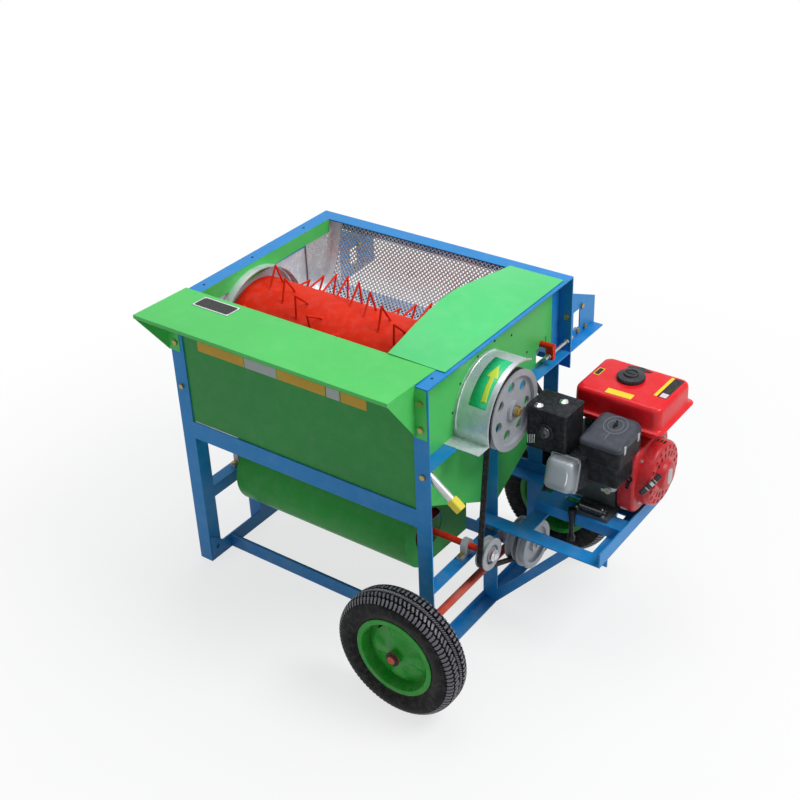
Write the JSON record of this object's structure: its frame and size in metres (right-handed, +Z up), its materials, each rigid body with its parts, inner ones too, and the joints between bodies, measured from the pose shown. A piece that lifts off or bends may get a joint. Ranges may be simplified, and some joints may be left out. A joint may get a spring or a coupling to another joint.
{
  "type": "rice thresher",
  "caption": "Engine driven rice thresher: spiked drum in an angle iron frame with feed table, winnowing fan, belt drive, swinging carry handles and two wheels on an axle.",
  "frame": {"origin": "middle of the overall box in X and Y, on the ground", "axes": "+X along the drum to the engine end, +Y from the feed table to the back, +Z up"},
  "size_m": [1.2584, 1.0882, 0.9105],
  "materials": {
    "frame_blue": "gloss paint",
    "panel_green": "gloss paint",
    "drum_red": "gloss paint",
    "galvanised": "galvanised",
    "cast_grey": "painted casting",
    "steel": "zinc plated",
    "engine_red": "gloss paint",
    "engine_silver": "die cast",
    "black_metal": "satin heat paint",
    "black_plastic": "matte",
    "tyre_rubber": "matte",
    "belt_rubber": "matte",
    "rim_green": "gloss paint",
    "handle_blue": "light grey paint, yellow grip",
    "plate_black": "blank plate"
  },
  "bodies": {
    "frame": {"front_left_leg": "frame_blue", "front_right_leg": "frame_blue", "rear_left_leg": "frame_blue", "rear_right_post": "frame_blue", "middle_posts": "frame_blue", "wheel_arch": "frame_blue", "top_rails": "frame_blue", "cross_rails": "frame_blue", "side_rails": "frame_blue", "base_rails": "frame_blue", "engine_platform": "frame_blue", "platform_brace": "frame_blue", "front_panel": "panel_green", "feed_table": "panel_green", "rating_plate": "plate_black", "left_end_sheet": "galvanised", "right_end_panel": "panel_green", "drum_hood": "panel_green", "rear_screen": "galvanised", "concave_screen": "galvanised", "hopper": "panel_green", "fan_housing": "panel_green", "rear_brackets": "frame_blue", "belt_guard": "galvanised", "bearings": "cast_grey", "main_belt": "belt_rubber", "engine_block": "engine_silver", "valve_cover": "engine_silver", "muffler": "black_metal", "air_cleaner": "black_plastic", "fuel_tank": "engine_red", "recoil_cover": "engine_red", "carburettor": "engine_silver", "wheel_axle": "drum_red", "frame_bolts": "steel"},
    "drum": {"drum_shell": "drum_red", "drum_teeth_a": "drum_red", "drum_teeth_b": "drum_red", "drum_teeth_c": "drum_red", "drum_shaft": "steel", "drum_pulley": "cast_grey"},
    "fan": {"fan_rotor": "drum_red", "fan_pulley": "cast_grey"},
    "countershaft": {"jackshaft_pulleys": "cast_grey"},
    "engine_crank": {"engine_pulley": "cast_grey"},
    "front_wheel": {"front_tyre": "tyre_rubber", "front_rim": "rim_green"},
    "rear_wheel": {"rear_tyre": "tyre_rubber", "rear_rim": "rim_green"},
    "front_right_carry": {"front_right_handle": "handle_blue"},
    "front_left_carry": {"front_left_handle": "handle_blue"},
    "rear_left_carry": {"rear_left_handle": "handle_blue"},
    "adjuster_lever": {"concave_lever": "drum_red"},
    "adjuster_rod": {"adjuster_screw": "steel"},
    "starter_grip": {"starter_handle": "black_plastic"},
    "tank_cap": {"fuel_cap": "black_plastic"},
    "throttle": {"throttle_lever": "black_plastic"},
    "choke": {"choke_lever": "steel"},
    "tap": {"fuel_tap": "steel"}
  },
  "joints": [
    {"name": "drum_spin", "type": "hinge", "parent": "frame", "child": "drum", "pos_m": [0.27531, -0.03685, 0.6655], "axis": [1, 0, 0], "continuous": true},
    {"name": "fan_spin", "type": "hinge", "parent": "frame", "child": "fan", "pos_m": [0.27531, -0.14585, 0.27299], "axis": [1, 0, 0], "continuous": true},
    {"name": "countershaft_spin", "type": "hinge", "parent": "frame", "child": "countershaft", "pos_m": [0.27531, 0.01815, 0.216], "axis": [1, 0, 0], "continuous": true},
    {"name": "crank_spin", "type": "hinge", "parent": "frame", "child": "engine_crank", "pos_m": [0.27531, 0.20915, 0.441], "axis": [1, 0, 0], "continuous": true},
    {"name": "front_wheel_spin", "type": "hinge", "parent": "frame", "child": "front_wheel", "pos_m": [0.23901, -0.49585, 0.18], "axis": [0, 1, 0], "continuous": true},
    {"name": "rear_wheel_spin", "type": "hinge", "parent": "frame", "child": "rear_wheel", "pos_m": [0.23901, 0.30415, 0.18], "axis": [0, 1, 0], "continuous": true},
    {"name": "front_right_swing", "type": "hinge", "parent": "frame", "child": "front_right_carry", "pos_m": [0.20681, -0.31585, 0.605], "axis": [0, 1, 0], "range_deg": [-36, 50]},
    {"name": "front_left_swing", "type": "hinge", "parent": "frame", "child": "front_left_carry", "pos_m": [-0.60119, -0.31585, 0.605], "axis": [0, 1, 0], "range_deg": [0, 85]},
    {"name": "rear_left_swing", "type": "hinge", "parent": "frame", "child": "rear_left_carry", "pos_m": [-0.60119, 0.33915, 0.605], "axis": [0, 1, 0], "range_deg": [0, 85]},
    {"name": "adjuster_turn", "type": "hinge", "parent": "frame", "child": "adjuster_lever", "pos_m": [0.21781, 0.26215, 0.688], "axis": [1, 0, 0], "range_deg": [-8, 8]},
    {"name": "adjuster_slide", "type": "slide", "parent": "frame", "child": "adjuster_rod", "axis": [0, 1, 0], "range_m": [-0.0036, 0.0036]},
    {"name": "starter_pull", "type": "slide", "parent": "frame", "child": "starter_grip", "axis": [0, -0.7071, 0.7071], "range_m": [0, 0.35], "stiffness_N_per_m": 12},
    {"name": "cap_turn", "type": "hinge", "parent": "frame", "child": "tank_cap", "pos_m": [0.45781, 0.26915, 0.66], "axis": [0, 0, 1], "range_deg": [-90, 0]},
    {"name": "throttle_swing", "type": "hinge", "parent": "frame", "child": "throttle", "pos_m": [0.54981, 0.10215, 0.469], "axis": [0, 1, 0], "range_deg": [-20, 20]},
    {"name": "choke_swing", "type": "hinge", "parent": "frame", "child": "choke", "pos_m": [0.51181, 0.05715, 0.471], "axis": [0, 1, 0], "range_deg": [0, 30]},
    {"name": "tap_swing", "type": "hinge", "parent": "frame", "child": "tap", "pos_m": [0.51181, 0.05715, 0.444], "axis": [0, 1, 0], "range_deg": [-90, 0]}
  ],
  "couplings": [
    {"joint": "fan_spin", "follows": "drum_spin", "ratio": 2.6139},
    {"joint": "countershaft_spin", "follows": "drum_spin", "ratio": 1.8559},
    {"joint": "crank_spin", "follows": "drum_spin", "ratio": 3.3103},
    {"joint": "adjuster_slide", "follows": "adjuster_turn", "m_per_rad": 0.025}
  ]
}
